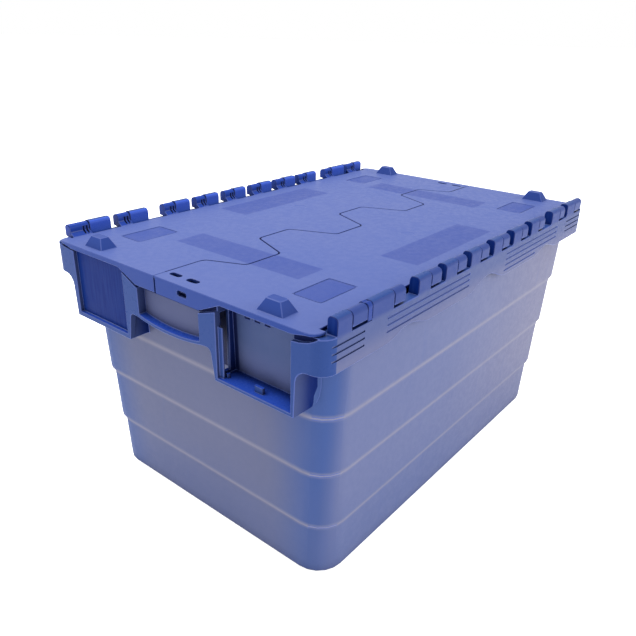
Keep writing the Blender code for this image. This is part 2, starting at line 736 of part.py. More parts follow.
def clip_leg(bm):
    """Leg through the rim, with a barb below the plate."""
    x = clip_middle()
    half = 0.0011
    foot = RIM_TOP - FLANGE
    profile = [(HINGE_Y - half, WINDOW_FLOOR + 0.002), (HINGE_Y - half, foot - CLIP_PLAY),
               (HINGE_Y - half - 0.0006, foot - 0.0009), (HINGE_Y - half, foot - 0.0045),
               (HINGE_Y + half, foot - 0.0045), (HINGE_Y + half + 0.0006, foot - 0.0009),
               (HINGE_Y + half, foot - CLIP_PLAY), (HINGE_Y + half, WINDOW_FLOOR + 0.002)]
    prism_into(bm, profile, x - 0.002, x + 0.002, "YZ")


def clip_thumb_groove(bm):
    low, high = clip_range()
    rod_into(bm, (low - OVER, high + OVER), HINGE_Y, HINGE_Z + KNUCKLE + 0.0026, 0.0034)


def make_clip(shop, material):
    clip = shop.solid("hinge_lock_near", clip_head, material)
    shop.join(clip, "add_clip_leg", clip_leg)
    shop.cut(clip, "cut_clip_thumb_groove", clip_thumb_groove)
    return clip


# ---------------------------------------------------------------- assembly
def hinge_origin(side):
    """World place of a lid's hinge axis, at the middle of its length."""
    return Vector((0.0, side * abs(HINGE_Y), HINGE_Z))


def set_origin(obj, point):
    """Move an object's origin to a point and leave its shape where it is."""
    obj.data.transform(Matrix.Translation(-point))
    obj.location = point


def far_twin(obj, parts):
    """The same finished shape on the far side, turned by 180 degrees."""
    shaped = obj.evaluated_get(bpy.context.evaluated_depsgraph_get())
    mesh = bpy.data.meshes.new_from_object(shaped)
    twin = place(obj.name.replace("near", "far"), mesh, parts)
    twin.matrix_world = HALF_TURN @ Matrix.Translation(obj.location)


def main():
    clear_scene()
    parts = new_collection("stacking_crate")
    cutters = new_collection("cutters")
    shop = Workshop(parts, cutters)
    body_blue = plastic("tub_blue", PALE_BLUE, 0.42)
    lid_blue = plastic("lid_blue", PALE_BLUE, 0.48)
    clip_blue = plastic("clip_blue", BLUE, 0.38)
    steel = plastic("pin_steel", STEEL, 0.30, 1.0)

    make_tub(shop, body_blue)
    lid = make_near_lid(shop, lid_blue)
    set_origin(lid, hinge_origin(-1.0))
    clip = make_clip(shop, clip_blue)
    pins = make_pins(shop, steel)
    for piece in [lid, clip] + pins:
        far_twin(piece, parts)


main()
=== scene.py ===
import itertools
import math

import bmesh
import bpy
from mathutils import Matrix, Vector
from mathutils.geometry import intersect_point_line
from mathutils.kdtree import KDTree


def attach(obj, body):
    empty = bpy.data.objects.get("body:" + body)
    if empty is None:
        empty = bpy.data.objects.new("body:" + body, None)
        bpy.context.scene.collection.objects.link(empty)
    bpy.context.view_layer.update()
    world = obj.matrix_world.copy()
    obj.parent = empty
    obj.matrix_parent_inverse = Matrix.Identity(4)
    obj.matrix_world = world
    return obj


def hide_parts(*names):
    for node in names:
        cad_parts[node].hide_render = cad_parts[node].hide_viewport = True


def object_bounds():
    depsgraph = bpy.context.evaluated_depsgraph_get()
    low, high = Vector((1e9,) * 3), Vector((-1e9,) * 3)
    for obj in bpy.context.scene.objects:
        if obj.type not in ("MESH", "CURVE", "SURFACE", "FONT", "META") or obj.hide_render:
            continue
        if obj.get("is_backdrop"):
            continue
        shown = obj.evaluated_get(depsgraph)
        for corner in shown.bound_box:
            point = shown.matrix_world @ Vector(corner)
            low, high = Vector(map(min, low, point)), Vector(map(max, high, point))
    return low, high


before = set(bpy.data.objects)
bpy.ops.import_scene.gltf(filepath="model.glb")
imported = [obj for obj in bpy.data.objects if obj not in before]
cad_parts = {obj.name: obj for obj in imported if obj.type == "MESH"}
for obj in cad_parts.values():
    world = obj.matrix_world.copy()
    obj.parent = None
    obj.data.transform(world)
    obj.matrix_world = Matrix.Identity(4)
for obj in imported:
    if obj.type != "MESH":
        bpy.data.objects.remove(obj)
CAD_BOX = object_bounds()

# ---------------------------------------------------------------- places, in metres, from the frame
LOW, HIGH = CAD_BOX
HALF_LENGTH = (HIGH.x - LOW.x) / 2.0
HALF_WIDTH = (HIGH.y - LOW.y) / 2.0
HALF_TURN = Matrix.Rotation(math.pi, 4, "Z")

SKIRT_BOTTOM = 0.267          # lower edge of the rim's skirt
LEDGE = 0.298                 # ledge on the rim under the lids' flaps
BOX_BOTTOM = 0.218            # underside of the boxes beside the end handles
BOX_OUTER = 0.167             # |y| of the boxes' outer sides
FLANK_WIDTH = 0.017           # how far the curved webs reach past the boxes
HANDLE_SIDE = 0.067           # |y| where the boxes meet the handle
OPENING_SEEN = 0.048          # |y| down to which a pocket's side opening shows the wall
FIN_SIDE = 0.0745             # |y| of the fin that stands in each end pocket
KNUCKLE_END = 0.284           # |x| of the outermost knuckles
BARREL_SIDE = 0.184           # |y| beyond which a lid's raised parts are hinge barrels
RIM_TOP = 0.301
LID_TOP = 0.3045
HANDLE_BACK = 0.2905          # |x| of the plate behind each handle
PANEL_BACK = 0.2955           # |x| of the shallow panel beside each handle
REBATE_BACK = 0.2962          # |x| of the rebate behind the lids' end lips
REBATE_BOTTOM = 0.285
BASE_HALF_X, BASE_HALF_Y = 0.260, 0.174     # outside of the tub's walls at its floor
TUB_CORNER = 0.032            # radius of the tub's upright corners
DRAFT = 0.032                 # lean of the tub's walls, outwards for each metre up
STEPS = (0.062, 0.132, 0.201)               # heights of the outward steps round the tub
STEP_OUT, STEP_HEIGHT = 0.0027, 0.005

# places on a lid's own shape: x along the hinge, -y towards it
SMOOTH_BANDS = (((-0.212, -0.172), (-0.095, 0.089)),
                ((0.172, 0.212), (-0.089, 0.095)),
                ((-0.096, 0.078), (-0.160, -0.113)))
LABEL_X, LABEL_Y = 0.216, -0.1325           # middle of the outlined label panels
LABEL_HALF_X, LABEL_HALF_Y = 0.028, 0.0175

# ---------------------------------------------------------------- rounding of moulded edges
BEVEL = 0.0007                # moulded edge radius
SHARE = 0.42                  # part of the free width beside an edge that its rounding may take
CREASE = math.radians(32)     # edges sharper than this are moulded edges
FLAT = math.radians(1.0)      # faces that meet at less than this are one flat area
WHOLE = math.radians(0.5)     # faces that meet at less than this are joined into one
EASINGS = 4                   # times that rounding which folds a face is halved
EASE_REACH = 3.0 * BEVEL      # how near a folded strip the rounding is halved
WELD_DISTANCE = 0.000001
IN_PLANE = 0.00002            # how far off a face's plane its neighbours may lie
NO_AREA = 1e-9                # twice the area under which a triangle faces no way
FAR_APART = 1.0               # more free width than any edge has

# ---------------------------------------------------------------- which way a face looks
SQUARE_ON = 0.9               # least share of its normal along an axis that it is square to
MOSTLY = 0.5                  # the same where it may lean

# ---------------------------------------------------------------- colours, linear
WALL_BLUE = (0.086, 0.104, 0.214)
# painted sheen: a warm reflection at grazing angles on one pair of wall quarters
WALL_WARM_SHEEN = (0.125, 0.125, 0.198)
# painted shade on the end walls
WALL_END_SHADE = (0.088, 0.098, 0.176)
# deeper blue of the corners, painted for their weaker reflection, and near the floor
WALL_DEEP = (0.036, 0.070, 0.214)
# painted highlight along the steps round the tub
STEP_HIGHLIGHT_TONE = (0.185, 0.180, 0.235)
# painted shade at the top of the end pockets, under the lids
POCKET_TOP_SHADE = (0.046, 0.070, 0.172)
SKIRT_BLUE = (0.050, 0.070, 0.180)
HEM_BLUE = (0.090, 0.100, 0.196)
POCKET_LOW = (0.084, 0.104, 0.226)
RIM_BLUE = (0.022, 0.049, 0.178)
# pocket floors: painted light at the front, painted shade at the back
POCKET_FLOOR_LIT = (0.022, 0.070, 0.420)
POCKET_FLOOR_SHADED = (0.003, 0.015, 0.120)
PANEL_BLUE = (0.005, 0.021, 0.134)
PANEL_DARK = (0.001, 0.012, 0.108)
SHADE_BLUE = (0.002, 0.006, 0.045)
# painted light and painted shade on the boxes' outer sides
FLANK_LIT = (0.032, 0.047, 0.132)
FLANK_SHADED = (0.001, 0.010, 0.090)
# lighter copy of the rim blue, as painted light on the knuckles' inner faces
KNUCKLE_LIT_BLUE = (0.036, 0.080, 0.400)
KNUCKLE_OUTER = (0.022, 0.042, 0.171)
RECESS_GREY = (0.066, 0.078, 0.163)
# painted highlight on the tub's rounded edges, and the tone of scuffs
EDGE_HIGHLIGHT_AND_SCUFF = (0.062, 0.092, 0.275)
# tone of painted shade on edges in the hinge gaps and along the lid seam; also the clips' edges
EDGE_DEEP = (0.008, 0.018, 0.100)
PALE_FLECK = (0.150, 0.160, 0.270)
LID_BLUE = (0.060, 0.089, 0.262)
LID_SMOOTH = (0.034, 0.058, 0.225)
LID_LABEL = (0.022, 0.046, 0.215)
LID_LINE = (0.004, 0.016, 0.120)
LID_SIDE = (0.018, 0.043, 0.200)
LID_EDGE = (0.052, 0.080, 0.258)
BARREL_BLUE = (0.012, 0.039, 0.240)
CLIP_BLUE = (0.012, 0.034, 0.190)
STEEL = (0.60, 0.61, 0.63)
STEEL_DULL = (0.42, 0.43, 0.45)
PAPER_GREY = (0.86, 0.86, 0.86)
PAPER_PALE = (0.90, 0.90, 0.90)
WHITE = (1.0, 1.0, 1.0)

# ---------------------------------------------------------------- where one tone turns into another
SIDE_TURN = (0.020, -0.060)   # x * y, from the bluer pair of wall quarters to those with a warm painted sheen
END_X = (0.250, 0.259)        # |x|, from the long sides' tone to the painted shade of the ends
CORNER_X, CORNER_Y = (0.242, 0.264), (0.096, 0.176)
LOW_TOP, LOW_SHARE = 0.120, 0.30            # deeper blue near the floor
SKIRT_IN = (0.006, 0.004)     # how far inside the widest place the long skirts' tone begins
HEM_Z = (0.266, 0.292)
HEM_TOP_Z = (0.2975, 0.3035)
# from the pockets' lower tone to the painted shade at their tops
POCKET_Z = (0.225, 0.262)
BEHIND_Z = (0.250, 0.258)     # from where the wall behind the handle is in shadow
OPENING_Z = (0.214, 0.219)
# |x|, from painted shade at the webs to painted light at the boxes' fronts
FLANK_X = (0.274, 0.298)
# |x|, from painted shade at the back of a pocket floor to painted light at its front
BRIGHT_X = (0.274, 0.290)
HINGE_EDGE_Y = (0.188, 0.191)               # |y|, from the rim's edges to the hinges'
SEAM_X, SEAM_Y = (0.287, 0.284), (0.048, 0.044)
HARD = 0.001                  # width of a tone's border that has to look sharp
STEP_LIGHT_BELOW, STEP_LIGHT_ABOVE, STEP_LIGHT_SOFT = 0.0005, 0.0015, 0.0030     # reach past each step
STEP_LIGHT_SHARE = 0.75              # how far the painted step highlight covers the wall's tone
LINE_SHARE = 0.75             # how far the outline covers the lid's tone
LABEL_SHARE = 0.85            # the same for the panel within it

OPEN_SKY = (0.08, 0.72)       # occlusion level in the darkest crevices and on open faces
CREVICE_REACH = 0.030
MIDDLE = (0.30, 0.70)         # levels that most of a noise lies between


# ---------------------------------------------------------------- node trees
class Shading:
    """Builds one material's node tree around its Principled shader."""

    def __init__(self, name):
        self.material = bpy.data.materials.new(name)
        self.material.use_nodes = True
        self.tree = self.material.node_tree
        self.shader = self.tree.nodes["Principled BSDF"]
        self.place = self.node("ShaderNodeTexCoord").outputs["Object"]
        split = self.node("ShaderNodeSeparateXYZ")
        self.tree.links.new(self.place, split.inputs[0])
        self.x, self.y, self.z = split.outputs

    def node(self, kind, **settings):
        """A new node of one kind with its settings."""
        node = self.tree.nodes.new(kind)
        for key, value in settings.items():
            setattr(node, key, value)
        return node

    def feed(self, socket, value):
        """Gives a socket a link, a colour or a number."""
        if isinstance(value, bpy.types.NodeSocket):
            self.tree.links.new(value, socket)
        elif isinstance(value, tuple):
            socket.default_value = (*value, 1.0)
        else:
            socket.default_value = value

    def math(self, operation, first, second=0.0):
        node = self.node("ShaderNodeMath", operation=operation)
        self.feed(node.inputs[0], first)
        self.feed(node.inputs[1], second)
        return node.outputs[0]

    def ramp(self, value, low, high, out_low=0.0, out_high=1.0):
        """Smooth step of a value from one level to another."""
        node = self.node("ShaderNodeMapRange", interpolation_type="SMOOTHSTEP")
        for index, level in enumerate((value, low, high, out_low, out_high)):
            self.feed(node.inputs[index], level)
        return node.outputs[0]

    def between(self, value, low, high, soft):
        """1 between two places along a value, and 0 outside, with soft ends."""
        up = self.ramp(value, low - soft, low + soft)
        down = self.ramp(value, high - soft, high + soft, 1.0, 0.0)
        return self.math("MULTIPLY", up, down)

    def noise(self, scale, detail=2.0, rough=0.5, stretch=(1.0, 1.0, 1.0)):
        """Noise fixed to the piece, drawn out along the axes where stretch is small."""
        mapping = self.node("ShaderNodeMapping")
        mapping.inputs["Scale"].default_value = stretch
        self.tree.links.new(self.place, mapping.inputs["Vector"])
        node = self.node("ShaderNodeTexNoise")
        self.tree.links.new(mapping.outputs[0], node.inputs["Vector"])
        node.inputs["Scale"].default_value = scale
        node.inputs["Detail"].default_value = detail
        node.inputs["Roughness"].default_value = rough
        return node.outputs[0]

    def openness(self, reach):
        """1 on open surfaces, falling to 0 deep in gaps and slots narrower than a reach."""
        node = self.node("ShaderNodeAmbientOcclusion", samples=6)
        node.inputs["Distance"].default_value = reach
        return self.ramp(node.outputs["AO"], *OPEN_SKY)

    def mix(self, factor, first, second):
        """The first colour where the factor is 0, the second where it is 1."""
        node = self.node("ShaderNodeMix", data_type="RGBA")
        factor_in, first_in, second_in, colour_out = 0, 6, 7, 2     # sockets of its colour mode
        self.feed(node.inputs[factor_in], factor)
        self.feed(node.inputs[first_in], first)
        self.feed(node.inputs[second_in], second)
        return node.outputs[colour_out]

    def bump(self, height, strength, distance, normal=None):
        node = self.node("ShaderNodeBump")
        node.inputs["Strength"].default_value = strength
        node.inputs["Distance"].default_value = distance
        self.tree.links.new(height, node.inputs["Height"])
        if normal is not None:
            self.tree.links.new(normal, node.inputs["Normal"])
        return node.outputs[0]

    def finish(self, colour, roughness, normal):
        """The material, once its shader has its last inputs."""
        self.feed(self.shader.inputs["Base Color"], colour)
        self.feed(self.shader.inputs["Roughness"], roughness)
        self.feed(self.shader.inputs["Normal"], normal)
        return self.material


def moulded(shading, colour, roughness, grain, specular, wear):
    """Common to the plastics: flow marks, fine grain, faint scuffs, uneven gloss, painted shade in
    crevices.
    """
    shading.shader.inputs["Specular IOR Level"].default_value = specular
    flow = shading.noise(scale=7.0, detail=3.0, rough=0.5)
    pale = shading.mix(shading.ramp(flow, *MIDDLE, out_high=0.07 * wear), colour, PALE_FLECK)
    scuff = shading.noise(scale=70.0, detail=5.0, rough=0.7, stretch=(1.0, 1.0, 0.10))
    scuff = shading.ramp(scuff, 0.56, 0.78, out_high=0.14 * wear)
    scuffed_and_shaded = shading.mix(scuff, pale, EDGE_HIGHLIGHT_AND_SCUFF)
    # painted shade: the colour darkens towards SHADE_BLUE in gaps, slots and crevices
    scuffed_and_shaded = shading.mix(shading.openness(CREVICE_REACH), SHADE_BLUE, scuffed_and_shaded)
    fleck = shading.noise(scale=140.0, detail=3.0, rough=0.6)
    gloss = shading.ramp(fleck, *MIDDLE, out_low=roughness - 0.05, out_high=roughness + 0.06)
    gloss = shading.math("ADD", gloss, shading.math("MULTIPLY", scuff, 0.5))
    fine = shading.noise(scale=2600.0, detail=2.0, rough=0.6)
    normal = shading.bump(fine, strength=grain, distance=0.00012)
    warp = shading.noise(scale=9.0, detail=1.0, rough=0.4)
    normal = shading.bump(warp, strength=0.05, distance=0.0010, normal=normal)
    return shading.finish(scuffed_and_shaded, gloss, normal)


def plain_plastic(name, colour, roughness, grain, specular, wear):
    """A plastic of one tone."""
    return moulded(Shading(name), colour, roughness, grain, specular, wear)


def step_rings(shading):
    """1 on the outward steps round the tub, where a highlight is painted."""
    rings = 0.0
    for step in STEPS:
        ring = shading.between(shading.z, step - STEP_LIGHT_BELOW, step + STEP_HEIGHT + STEP_LIGHT_ABOVE,
                               STEP_LIGHT_SOFT)
        rings = shading.math("MAXIMUM", rings, ring)
    return rings


def tub_textured():
    """Eroded finish of the tub walls, with painted shade on the ends, a warm painted sheen on one
    pair of quarters, and the corners painted deeper blue for their weaker reflection.
    """
    shading = Shading("tub_textured")
    across = shading.math("ABSOLUTE", shading.x)
    along = shading.math("ABSOLUTE", shading.y)
    turn = shading.math("MULTIPLY", shading.x, shading.y)
    side = shading.mix(shading.ramp(turn, *SIDE_TURN), WALL_BLUE, WALL_WARM_SHEEN)
    colour = shading.mix(shading.ramp(across, *END_X), side, WALL_END_SHADE)
    # corners painted deeper blue for their weaker reflection
    corner = shading.math("MULTIPLY", shading.ramp(across, *CORNER_X),
                          shading.ramp(along, *CORNER_Y))
    colour = shading.mix(corner, colour, WALL_DEEP)
    low = shading.ramp(shading.z, 0.0, LOW_TOP, LOW_SHARE, 0.0)
    colour = shading.mix(low, colour, WALL_DEEP)
    # painted highlight on the steps
    step_highlight = shading.math("MULTIPLY", step_rings(shading), STEP_LIGHT_SHARE)
    colour = shading.mix(step_highlight, colour, STEP_HIGHLIGHT_TONE)
    skirt = shading.ramp(along, *(HALF_WIDTH - inset for inset in SKIRT_IN))
    hem = shading.mix(shading.ramp(shading.z, *HEM_Z), HEM_BLUE, SKIRT_BLUE)
    hem = shading.mix(shading.ramp(shading.z, *HEM_TOP_Z), hem, KNUCKLE_OUTER)
    colour = shading.mix(skirt, colour, hem)

    # end pockets, on the outside of the end walls only, with painted shade at their tops and a
    # painted shadow beside each fin
    above = shading.ramp(shading.z, BOX_BOTTOM + 0.0030, BOX_BOTTOM + 0.0035)
    upright = shading.math("SUBTRACT", across, shading.math("MULTIPLY", shading.z, DRAFT))
    wall = BASE_HALF_X + len(STEPS) * STEP_OUT
    in_end = shading.math("MULTIPLY", above, shading.ramp(upright, wall - 0.0016, wall - 0.0008))
    pocket = shading.between(along, HANDLE_SIDE + 0.0030, BOX_OUTER, 0.0005)
    pocket = shading.math("MULTIPLY", pocket, shading.ramp(turn, 0.0, HARD))
    pocket = shading.math("MULTIPLY", pocket, in_end)
    inner = shading.mix(shading.ramp(shading.z, *POCKET_Z), POCKET_LOW, POCKET_TOP_SHADE)
    inner = shading.mix(shading.ramp(along, FIN_SIDE, FIN_SIDE + 0.002), SHADE_BLUE, inner)
    colour = shading.mix(pocket, colour, inner)

    # shadow behind each handle, lower where the pocket's side opening shows the wall
    behind = shading.ramp(along, HANDLE_SIDE, HANDLE_SIDE + HARD, 1.0, 0.0)
    behind = shading.math("MULTIPLY", behind, shading.ramp(shading.z, *BEHIND_Z))
    opening = shading.between(along, OPENING_SEEN, HANDLE_SIDE + 0.0005, 0.002)
    opening = shading.math("MULTIPLY", opening, shading.ramp(shading.z, *OPENING_Z))
    opening = shading.math("MULTIPLY", opening, shading.ramp(turn, 0.0, HARD))
    behind = shading.math("MULTIPLY", shading.math("MAXIMUM", behind, opening), in_end)
    colour = shading.mix(behind, colour, SHADE_BLUE)
    return moulded(shading, colour, roughness=0.46, grain=0.5, specular=0.06, wear=1.0)


def tub_flank():
    """Outer sides of the end boxes, with painted shade deepening towards the webs behind them."""
    shading = Shading("tub_flank")
    depth = shading.math("ABSOLUTE", shading.x)
    colour = shading.mix(shading.ramp(depth, *FLANK_X), FLANK_SHADED, FLANK_LIT)
    return moulded(shading, colour, roughness=0.38, grain=0.15, specular=0.03, wear=0.3)


def tub_bright():
    """Glossy floors of the end pockets, with painted light at the front and painted shade at the
    back.
    """
    shading = Shading("tub_bright")
    depth = shading.math("ABSOLUTE", shading.x)
    colour = shading.mix(shading.ramp(depth, *BRIGHT_X), POCKET_FLOOR_SHADED, POCKET_FLOOR_LIT)
    return moulded(shading, colour, roughness=0.26, grain=0.08, specular=0.05, wear=0.2)


def edge_plastic(name, colour, level):
    """Moulded edges, with painted shade above a level among the knuckles and barrels, and along the
    seam.
    """
    shading = Shading(name)
    across = shading.math("ABSOLUTE", shading.x)
    along = shading.math("ABSOLUTE", shading.y)
    hinge = shading.math("MULTIPLY", shading.ramp(shading.z, level, level + 0.002),
                         shading.ramp(along, *HINGE_EDGE_Y))
    seam = shading.math("MULTIPLY", shading.ramp(across, *SEAM_X), shading.ramp(along, *SEAM_Y))
    gap_shade = shading.math("MAXIMUM", hinge, seam)
    colour = shading.mix(gap_shade, colour, EDGE_DEEP)
    return moulded(shading, colour, roughness=0.32, grain=0.10, specular=0.08, wear=0.4)


def tub_panel():
    """Flat panels and hidden faces, with faint upright streaks; on the knuckles' ends its dark blue
    is painted shade.
    """
    shading = Shading("tub_panel")
    tone = shading.noise(scale=420.0, detail=3.0, rough=0.5, stretch=(1.0, 1.0, 0.05))
    colour = shading.mix(shading.ramp(tone, 0.35, 0.65), PANEL_DARK, PANEL_BLUE)
    return moulded(shading, colour, roughness=0.34, grain=0.10, specular=0.02, wear=0.30)


def lid_textured():
    """Satin top of the lids, with darker smooth bands and outlined label panels."""
    shading = Shading("lid_textured")
    bands = 0.0
    for x_range, y_range in SMOOTH_BANDS:
        band = shading.math("MULTIPLY", shading.between(shading.x, *x_range, 0.0006),
                            shading.between(shading.y, *y_range, 0.0006))
        bands = shading.math("MAXIMUM", bands, band)
    colour = shading.mix(bands, LID_BLUE, LID_SMOOTH)
    beside = shading.math("ABSOLUTE", shading.x)
    beside = shading.math("ABSOLUTE", shading.math("SUBTRACT", beside, LABEL_X))
    across = shading.math("ABSOLUTE", shading.math("SUBTRACT", shading.y, LABEL_Y))
    outside = shading.math("MAXIMUM", shading.math("SUBTRACT", beside, LABEL_HALF_X),
                           shading.math("SUBTRACT", across, LABEL_HALF_Y))
    inside = shading.ramp(outside, -0.0012, -0.0004, LABEL_SHARE, 0.0)
    colour = shading.mix(inside, colour, LID_LABEL)
    line = shading.between(outside, -0.0016, 0.0, 0.0003)
    colour = shading.mix(shading.math("MULTIPLY", line, LINE_SHARE), colour, LID_LINE)
    return moulded(shading, colour, roughness=0.42, grain=0.35, specular=0.06, wear=0.8)


def steel():
    """Drawn wire of the hinge pins, with streaks along x."""
    shading = Shading("pin_steel")
    shading.shader.inputs["Metallic"].default_value = 1.0
    drawn = shading.noise(scale=400.0, detail=3.0, rough=0.6, stretch=(0.05, 1.0, 1.0))
    colour = shading.mix(shading.ramp(drawn, *MIDDLE), STEEL, STEEL_DULL)
    gloss = shading.ramp(drawn, *MIDDLE, out_low=0.24, out_high=0.40)
    return shading.finish(colour, gloss, shading.bump(drawn, strength=0.3, distance=0.0001))


# ---------------------------------------------------------------- shapes
def welded(source, turn):
    """A node's own shape as one welded surface of whole flat faces."""
    bm = bmesh.new()
    verts = [bm.verts.new(turn @ vertex.co) for vertex in source.vertices]
    for polygon in source.polygons:
        bm.faces.new([verts[index] for index in polygon.vertices])
    bmesh.ops.remove_doubles(bm, verts=bm.verts, dist=WELD_DISTANCE)
    bmesh.ops.dissolve_limit(bm, angle_limit=WHOLE, use_dissolve_boundaries=False,
                             verts=bm.verts, edges=bm.edges)
    return bm


def is_creased(edge):
    """Whether an edge is one of the moulding's own, and not a seam within a curve."""
    return edge.is_manifold and edge.calc_face_angle(0.0) > CREASE


def gap_between(first, second):
    """Shortest distance between two straight edges of one flat area."""
    gap = FAR_APART
    for one, other in ((first, second), (second, first)):
        start, end = (vert.co for vert in other.verts)
        for vert in one.verts:
            nearest, share = intersect_point_line(vert.co, start, end)
            nearest = start.lerp(end, min(max(share, 0.0), 1.0))
            gap = min(gap, (vert.co - nearest).length)
    return gap


def flat_areas(bm):
    """The faces, gathered into whole flat areas."""
    seen = set()
    for start in bm.faces:
        if start in seen:
            continue
        seen.add(start)
        area = [start]
        for face in area:
            for edge in face.edges:
                if edge.is_manifold and edge.calc_face_angle(0.0) < FLAT:
                    beside = [other for other in edge.link_faces if other not in seen]
                    seen.update(beside)
                    area.extend(beside)
        yield area


def reach_of(edge):
    """Range of an edge along each axis, widened by half the room that full rounding needs."""
    start, end = (vert.co for vert in edge.verts)
    spare = BEVEL / SHARE / 2.0
    return [(min(pair) - spare, max(pair) + spare) for pair in zip(start, end)]


def room_beside(bm):
    """For each creased edge, the free width beside it on its two flat areas."""
    room = {edge: FAR_APART for edge in bm.edges if is_creased(edge)}
    for area in flat_areas(bm):
        border = {edge: reach_of(edge) for face in area for edge in face.edges if edge in room}
        for edge, other in itertools.combinations(border, 2):
            if any(one[0] > two[1] or two[0] > one[1]
                   for one, two in zip(border[edge], border[other])):
                continue
            if set(edge.verts) & set(other.verts):
                room[edge] = min(room[edge], other.calc_length())
                room[other] = min(room[other], edge.calc_length())
            else:
                gap = gap_between(edge, other)
                room[edge] = min(room[edge], gap)
                room[other] = min(room[other], gap)
    return room


def round_over(bm):
    """Weigh each creased edge by the rounding that its narrowest neighbour leaves room for."""
    layer = bm.edges.layers.float.new("bevel_weight_edge")
    for edge, gap in room_beside(bm).items():
        edge[layer] = min(1.0, SHARE * gap / BEVEL)


def folded_faces(bm):
    """How much of each face lies folded over, for the faces where any does."""
    folded = {}
    for loops in bm.calc_loop_triangles():
        first, second, third = (loop.vert.co for loop in loops)
        across = (second - first).cross(third - first)
        face = loops[0].face
        if across.length > NO_AREA and across.dot(face.normal) < MOSTLY * across.length:
            folded[face] = folded.get(face, 0.0) + across.length / 2.0
    return folded


def rounded(piece):
    """A piece's shape with its edges rounded, as a bmesh."""
    bpy.context.view_layer.update()
    evaluated = piece.evaluated_get(bpy.context.evaluated_depsgraph_get())
    bm = bmesh.new()
    bm.from_mesh(evaluated.to_mesh())
    evaluated.to_mesh_clear()
    return bm


def ease_tight_edges(piece, edge_finish):
    """Halve the rounding round each strip of rounding that is folded."""
    weights = piece.data.attributes["bevel_weight_edge"].data
    for _ in range(EASINGS):
        bm = rounded(piece)
        corners = [vert.co.copy() for face in folded_faces(bm)
                   if face.material_index == edge_finish for vert in face.verts]
        bm.free()
        tree = KDTree(len(corners))
        for index, corner in enumerate(corners):
            tree.insert(corner, index)
        tree.balance()
        near = [corners and tree.find(vert.co)[2] < EASE_REACH for vert in piece.data.vertices]
        for edge in piece.data.edges:
            if near[edge.vertices[0]] or near[edge.vertices[1]]:
                weights[edge.index].value *= 0.5
        piece.data.update()


def area_vector(face):
    """Along a face's normal, twice as long as its area, however it is folded."""
    corners = [vert.co for vert in face.verts]
    total = Vector()
    for one, other in zip(corners[1:], corners[2:]):
        total += (one - corners[0]).cross(other - corners[0])
    return total


def in_plane_with(start):
    """The face and those that carry on its plane with its finish."""
    area = [start]
    for face in area:
        for other in (other for edge in face.edges for other in edge.link_faces):
            if other in area or other.material_index != start.material_index:
                continue
            heights = ((vert.co - start.verts[0].co).dot(start.normal) for vert in other.verts)
            if all(abs(height) < IN_PLANE for height in heights):
                area.append(other)
    return area


def fill_again(bm, edge_finish):
    """Fill anew each flat area in which rounding has folded a face over its neighbour."""
    filled = set()
    while True:
        worst = [(size, face.index, face) for face, size in folded_faces(bm).items()
                 if face.material_index != edge_finish and face not in filled]
        if not worst:
            return
        area = in_plane_with(max(worst)[2])
        finish = area[0].material_index
        normal = sum((area_vector(face) for face in area), Vector()).normalized()
        edges = list({edge: None for face in area for edge in face.edges})
        inner = [edge for edge in edges if all(face in area for face in edge.link_faces)]
        border = [edge for edge in edges if edge not in inner]
        bmesh.ops.delete(bm, geom=area, context="FACES_ONLY")
        bmesh.ops.delete(bm, geom=inner, context="EDGES_FACES")
        made = bmesh.ops.triangle_fill(bm, use_beauty=True, edges=border, normal=normal)["geom"]
        for face in made:
            if isinstance(face, bmesh.types.BMFace):
                face.normal_update()
                if face.normal.dot(normal) < 0.0:
                    face.normal_flip()
                face.material_index = finish
                face.smooth = True
                filled.add(face)
        bm.faces.index_update()


def shaped(node, body, finishes, choose, turn=Matrix.Identity(4)):
    """A moulded piece with rounded edges that stands for one CAD node.

    The last of its finishes is that of the rounding, and choose picks each flat face's.
    """
    edge_finish = len(finishes) - 1
    bm = welded(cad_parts[node].data, turn)
    round_over(bm)
    mesh = bpy.data.meshes.new(node + "_shape")
    bm.to_mesh(mesh)
    bm.free()
    for material in finishes:
        mesh.materials.append(material)
    for polygon in mesh.polygons:
        polygon.use_smooth = True
        polygon.material_index = choose(polygon.center, polygon.normal)
    mesh.set_sharp_from_angle(angle=CREASE)
    piece = bpy.data.objects.new(node + "_shell", mesh)
    bpy.context.scene.collection.objects.link(piece)
    piece.matrix_world = turn
    bevel = piece.modifiers.new("moulded_edges", "BEVEL")
    bevel.width = BEVEL
    bevel.segments = 2
    bevel.limit_method = "WEIGHT"
    bevel.use_clamp_overlap = False
    bevel.material = edge_finish
    ease_tight_edges(piece, edge_finish)
    bm = rounded(piece)
    fill_again(bm, edge_finish)
    piece.modifiers.remove(bevel)
    bm.to_mesh(mesh)
    bm.free()
    flat = piece.modifiers.new("flat_faces", "WEIGHTED_NORMAL")
    flat.mode = "FACE_AREA"
    flat.weight = 100
    flat.keep_sharp = True
    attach(piece, body)
    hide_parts(node)
    return piece


# ---------------------------------------------------------------- finish of each face
def wall_reach(height):
    """How far the tub wall stands outside its place at the floor."""
    reach = DRAFT * height
    for step in STEPS:
        reach += STEP_OUT * min(max((height - step) / STEP_HEIGHT, 0.0), 1.0)
    return reach


def outside_wall(x, y, z):
    """How far a place lies outside the tub's rounded wall."""
    corner = TUB_CORNER - wall_reach(z)
    over_x, over_y = x - BASE_HALF_X + corner, y - BASE_HALF_Y + corner
    if over_x > 0.0 and over_y > 0.0:
        return math.hypot(over_x, over_y) - TUB_CORNER
    return max(over_x, over_y) - TUB_CORNER


TEXTURED, POLISHED, PANEL, RECESS, BRIGHT, FLANK, KNUCKLE, SHADE = range(8)


